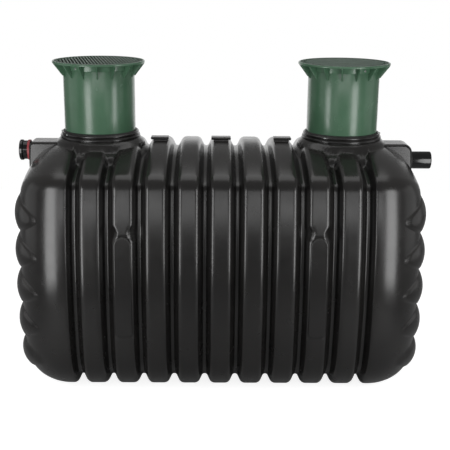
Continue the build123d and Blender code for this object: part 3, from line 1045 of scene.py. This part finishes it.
def make_tread(side, x):
    mesh = bmesh.new()
    bars = int(TREAD_RADIUS / TREAD_PITCH)
    low, high = TREAD_BED - 0.0005, LID_FACE
    foot, top = TREAD_WIDTH / 2, TREAD_WIDTH / 2 - TREAD_SLANT
    for k in range(-bars, bars + 1):
        offset = k * TREAD_PITCH
        half = sqrt(max(TREAD_RADIUS**2 - offset**2, 0)) - TREAD_END_GAP
        if half < SHORTEST_HALF_BAR:
            continue
        ends = []
        for end, upper in ((-half, -half + TREAD_SLANT), (half, half - TREAD_SLANT)):
            ends.append([
                (offset - foot, end, low), (offset - top, upper, high),
                (offset + top, upper, high), (offset + foot, end, low),
            ])
        add_prism(mesh, *ends)
    bmesh.ops.recalc_face_normals(mesh, faces=mesh.faces)
    place = Matrix.Translation((x, 0, NECK_LEVEL)) @ Matrix.Rotation(radians(TREAD_TURN), 4, "Z")
    # The bars wear the paler colour, which is painted light on their tops.
    piece = piece_from_bmesh(f"{side}_lid_tread", mesh, LIT_TREAD_GREEN, place, soften=(0.0006, 2))
    return finish_piece(piece, "lid_plastic")


for side, x in SHAFTS.items():
    make_lid(side, x)
    make_tread(side, x)

# %% [markdown]
# ## Pipe housings
# From each neck a flat-topped housing runs out to the end, so that the pipe leaves through a flat
# face. It is a box with a round top corner and narrow slanted edges, sunk into the dome.

# %% Housings
HOUSING_START = 0.86
HOUSING_END = 1.092
HOUSING_HALF = 0.073
HOUSING_TOP = NECK_LEVEL - 0.030
HOUSING_FOOT = NECK_LEVEL - 0.245
HOUSING_EDGE = 0.013


def make_housing(name, side, end_round, node):
    corners = [
        (HOUSING_START, HOUSING_FOOT), (HOUSING_END, HOUSING_FOOT),
        (HOUSING_END, HOUSING_TOP), (HOUSING_START, HOUSING_TOP),
    ]
    outline = rounded_line(corners, [0, 0, end_round, 0], steps=12, closed=True)
    mesh = bmesh.new()
    add_prism(mesh, *[[(x, y, z) for x, z in outline] for y in (-HOUSING_HALF, HOUSING_HALF)])
    bmesh.ops.recalc_face_normals(mesh, faces=mesh.faces)
    rims = [e for e in mesh.edges if abs(e.verts[0].co.y - e.verts[1].co.y) < 1e-6]
    low, near = HOUSING_FOOT + 0.001, HOUSING_START + 0.001
    outer = [e for e in rims if all(v.co.x > near and v.co.z > low for v in e.verts)]
    upper = [e for e in rims if all(v.co.z > HOUSING_TOP - 0.001 for v in e.verts)]
    edges = list(set(outer + upper))
    bmesh.ops.bevel(mesh, geom=edges, offset=HOUSING_EDGE, segments=4, profile=0.4, affect="EDGES")
    piece = piece_from_bmesh(name, mesh, MOULDED_BODY, Matrix.Diagonal((side, 1, 1, 1)))
    if side < 0:
        piece.data.flip_normals()
    return finish_piece(piece, "moulded_body", node)


make_housing("inlet_pipe_housing", -1, 0.028, "inlet_housing")
make_housing("outlet_pipe_housing", 1, 0.050, "outlet_housing")

# %% [markdown]
# ## Pipes
# The inlet is a socket with a rolled bead at its mouth and a red seal against the housing. The
# outlet is a plain pipe end with a small chamfer, a short hub at its root and a black seal round
# the hub. All four are turned about a level axis, and the inlet's profiles are mirrored to the left.

# %% Inlet and outlet
INLET_Z = NECK_LEVEL - 0.088
OUTLET_Z = NECK_LEVEL - 0.133
SOCKET_END = HOUSING_END + 0.060
PIPE_END = HOUSING_END + 0.119
SOCKET_BORE = 0.0503
SOCKET_RADIUS = 0.0535
BEAD_RADIUS = 0.0590
PIPE_BORE = 0.0468
PIPE_RADIUS = 0.0500
HUB_RADIUS = 0.0525
INLET_SEAL_WIDTH = 0.014
OUTLET_SEAL_WIDTH = 0.007
PIPE_SIDES = 96
SOCKET_PROFILE = [
    (SOCKET_BORE, HOUSING_END), (SOCKET_RADIUS, HOUSING_END), (SOCKET_RADIUS, SOCKET_END - 0.022),
    (BEAD_RADIUS, SOCKET_END - 0.016), (BEAD_RADIUS, SOCKET_END - 0.004), (0.0560, SOCKET_END),
    (SOCKET_BORE, SOCKET_END),
]
PIPE_PROFILE = [
    (PIPE_BORE, HOUSING_END), (HUB_RADIUS, HOUSING_END), (HUB_RADIUS, HOUSING_END + 0.0075),
    (PIPE_RADIUS, HOUSING_END + 0.0080), (PIPE_RADIUS, PIPE_END - 0.005), (0.0480, PIPE_END),
    (PIPE_BORE, PIPE_END),
]


def seal_profile(radius, width):
    start, end = HOUSING_END + 0.0002, HOUSING_END + width
    return [(radius, start), (radius + 0.005, start), (radius + 0.0045, end), (radius, end)]


def mirrored(profile):
    """The same profile for the left end of the tank."""
    return [(r, -h) for r, h in profile]


def turned_pipe(name, profile, level, material, slot, node, corner=0.0015, steps=3):
    """Turns a profile with rounded corners about a level axis along the tank."""
    line = rounded_line(profile, corner, steps, closed=True)
    piece = turned_piece(name, line, (0, 0, level), material, "x", PIPE_SIDES)
    return finish_piece(piece, slot, node)


socket = mirrored(SOCKET_PROFILE)
turned_pipe("inlet_pipe_socket", socket, INLET_Z, PIPE_BLACK, "pipe_plastic", "inlet_socket", corner=0.002)
red = mirrored(seal_profile(SOCKET_RADIUS, INLET_SEAL_WIDTH))
turned_pipe("inlet_red_seal", red, INLET_Z, SEAL_RED, "red_rubber", "inlet_seal")
turned_pipe("outlet_pipe_end", PIPE_PROFILE, OUTLET_Z, PIPE_BLACK, "pipe_plastic", "outlet_pipe", 0.001, 2)
black = seal_profile(HUB_RADIUS, OUTLET_SEAL_WIDTH)
turned_pipe("outlet_black_seal", black, OUTLET_Z, SEAL_BLACK, "black_rubber", "outlet_seal")

# %% [markdown]
# ## Lifting lugs
# Three of the ribs carry a low block on the crown, where a sling finds a hold. Each has a narrower
# foot, so a dark line runs round it under the top, and an ear reaches out over the valley.

# %% Lifting lugs
LUG_TOP = BODY_TOP + 0.0215
LUG_LINE = BODY_TOP + 0.0060
LUG_FOOT = BODY_TOP - 0.012
LUG_SPANS = {"left": (-0.056, 0.046), "middle": (-0.056, 0.056), "right": (-0.046, 0.056)}


def add_block(mesh, low, high):
    """Adds a plain block between two corners to a mesh."""
    corners = [(x, y, z) for x in (low[0], high[0]) for y in (low[1], high[1]) for z in (low[2], high[2])]
    made = [mesh.verts.new(corner) for corner in corners]
    for face in ((0, 1, 3, 2), (4, 6, 7, 5), (0, 4, 5, 1), (2, 3, 7, 6), (0, 2, 6, 4), (1, 5, 7, 3)):
        mesh.faces.new([made[k] for k in face])


def make_lug(place, x):
    left, right = LUG_SPANS[place]
    mesh = bmesh.new()
    add_block(mesh, (x + left, -0.030, LUG_LINE), (x + right, 0.030, LUG_TOP))
    add_block(mesh, (x - 0.043, -0.027, LUG_FOOT), (x + 0.043, 0.027, LUG_LINE + 0.001))
    bmesh.ops.recalc_face_normals(mesh, faces=mesh.faces)
    piece = piece_from_bmesh(f"{place}_lug_block", mesh, MOULDED_BODY, soften=(0.005, 4))
    return finish_piece(piece, "moulded_body", f"{place}_lifting_lug")


for place, x in (("left", -2 * RIB_PITCH), ("middle", 0.0), ("right", 2 * RIB_PITCH)):
    make_lug(place, x)

# %% [markdown]
# ## The floor
# The picture is a studio cut-out on white. A pale floor catches a soft shadow. For the camera alone
# it also glows, which makes it white without more light on the tank. It ends 4.3 m behind the
# tank's middle, short of the lamp there, so that the white world shows beyond it.

# %% Floor
FLOOR_REACH = 9.0
FLOOR_BACK = 4.3
FLOOR_GLOW = 0.86


def pale_floor():
    material, tree, shader = new_material("pale_floor")
    shader.inputs["Base Color"].default_value = linear("#b4b4b4")
    shader.inputs["Roughness"].default_value = 0.9
    path = add(tree, "ShaderNodeLightPath")
    seen = path.outputs["Is Camera Ray"]
    glow = add(tree, "ShaderNodeEmission", inputs={"Color": (1, 1, 1, 1), "Strength": FLOOR_GLOW})
    dark = add(tree, "ShaderNodeEmission", inputs={"Color": (0, 0, 0, 1), "Strength": 0.0})
    chosen = add(tree, "ShaderNodeMixShader", links={0: seen, 1: dark.outputs[0], 2: glow.outputs[0]})
    both = add(tree, "ShaderNodeAddShader", links={0: shader.outputs[0], 1: chosen.outputs[0]})
    output = next(n for n in tree.nodes if n.type == "OUTPUT_MATERIAL")
    tree.links.new(both.outputs[0], output.inputs["Surface"])
    return material


corners = [
    (-FLOOR_REACH, -FLOOR_REACH, 0), (FLOOR_REACH, -FLOOR_REACH, 0),
    (FLOOR_REACH, FLOOR_BACK, 0), (-FLOOR_REACH, FLOOR_BACK, 0),
]
floor = new_piece("floor_stage", corners, [(0, 1, 2, 3)], pale_floor(), smooth=False)
print("floor from", -FLOOR_REACH, "to", FLOOR_BACK, "behind the tank")

# %% [markdown]
# ## The world
# A dim white world lifts the shadows. Where the camera looks past the floor, straight or through
# something clear, the same white is at full strength, so the background is plain white.

# %% World
world = bpy.data.worlds.new("studio")
bpy.context.scene.world = world
world.use_nodes = True
tree = world.node_tree
tree.nodes.clear()
path = add(tree, "ShaderNodeLightPath")
rays = {0: path.outputs["Is Camera Ray"], 1: path.outputs["Is Transmission Ray"]}
seen = add(tree, "ShaderNodeMath", operation="MAXIMUM", links=rays)
room = add(tree, "ShaderNodeBackground", inputs={"Color": linear("#ffffff"), "Strength": 0.25})
white = add(tree, "ShaderNodeBackground", inputs={"Color": linear("#ffffff"), "Strength": 1.0})
mix = add(tree, "ShaderNodeMixShader", links={0: seen.outputs[0], 1: room.outputs[0], 2: white.outputs[0]})
add(tree, "ShaderNodeOutputWorld", links={"Surface": mix.outputs[0]})
print("made world", world.name)

# %% [markdown]
# ## Lamps
# Glossy plastic shows the lamps themselves, so each lamp is there for the reflection that it gives.
# Two upright strips, a little over forty degrees to each side, draw the white streaks on the
# shafts. A wide lamp overhead lights the tops and crests, and another, far in front and higher than
# the tank, fills the ribs. A soft lamp on each side of the camera, one at each end and one behind
# the tank light its edges. The camera doesn't see the lamps.

# %% Lamps
def lamp(name, place, target, size, power):
    """Adds a rectangular lamp of so many metres and watts that looks at a point."""
    data = bpy.data.lights.new(name, "AREA")
    data.shape = "RECTANGLE"
    data.size, data.size_y = size
    data.energy = power
    light = bpy.data.objects.new(name, data)
    bpy.context.scene.collection.objects.link(light)
    light.location = place
    light.visible_camera = False
    light.rotation_euler = (Vector(target) - Vector(place)).to_track_quat("-Z", "Y").to_euler()


for name, x in (("left_strip", -1.5965), ("right_strip", 1.648)):
    lamp(name, place=(x, -1.69, 1.10), target=(0, -0.3, 1.10), size=(0.66, 1.6), power=20)
lamp("overhead", place=(0, 0.4, 4.2), target=(0, 0.2, 1.0), size=(4.0, 2.6), power=36)
lamp("front_wall", place=(0, -7.0, 2.7), target=(0, -0.6, 1.1), size=(5.0, 1.6), power=60)
for name, x in (("front_left", -2.4), ("front_right", 2.6)):
    lamp(name, place=(x, -5.6, 1.3), target=(x * 0.3, -0.6, 0.8), size=(1.7, 2.4), power=11)
for name, x in (("left_side", -5.0), ("right_side", 5.0)):
    lamp(name, place=(x, -0.4, 1.5), target=(0, -0.4, 0.9), size=(3.0, 3.0), power=15)
lamp("back_wall", place=(0, 4.5, 1.4), target=(0, 0, 1.2), size=(7.0, 2.4), power=50)

# %% [markdown]
# ## Colour view
# The Standard view shows a colour about as it is written.

# %% View settings
bpy.context.scene.view_settings.view_transform = "Standard"
